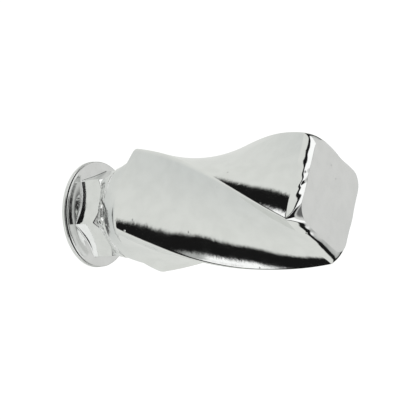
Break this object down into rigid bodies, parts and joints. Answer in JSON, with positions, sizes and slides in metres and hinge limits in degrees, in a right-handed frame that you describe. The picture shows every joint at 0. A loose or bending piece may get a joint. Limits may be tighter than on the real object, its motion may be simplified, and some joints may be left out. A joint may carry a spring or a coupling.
{
  "type": "twisted-bar window handle",
  "caption": "Short square grip bar with a quarter twist, welded to a flanged hexagon foot with a captive base washer; screws on to a stud.",
  "frame": {"origin": "centre of the base washer's seating face, where the handle's axis meets the window's surface", "axes": "+Z along the bar from the foot to the flat end; +X and +Y square to the sides of the bar's flat end"},
  "size_m": [0.025, 0.025, 0.053],
  "materials": {
    "bar_chrome": "bright plated, faint orange peel from the polishing under it",
    "weld_chrome": "bright plated over an as-laid weld",
    "foot_chrome": "bright plated over a forged and turned surface",
    "washer_chrome": "bright plated",
    "spring_steel": "oiled, dark",
    "nylon": "natural, satin"
  },
  "bodies": {
    "base": {"base_washer": "washer_chrome", "retaining_ring": "spring_steel", "friction_washer": "nylon"},
    "handle": {"flange_nut": "foot_chrome", "weld_bead": "weld_chrome", "twisted_bar": "bar_chrome"}
  },
  "joints": [
    {"name": "handle_turn", "type": "hinge", "parent": "base", "child": "handle", "pos_m": [0, 0, 0], "axis": [0, 0, 1], "continuous": true}
  ]
}
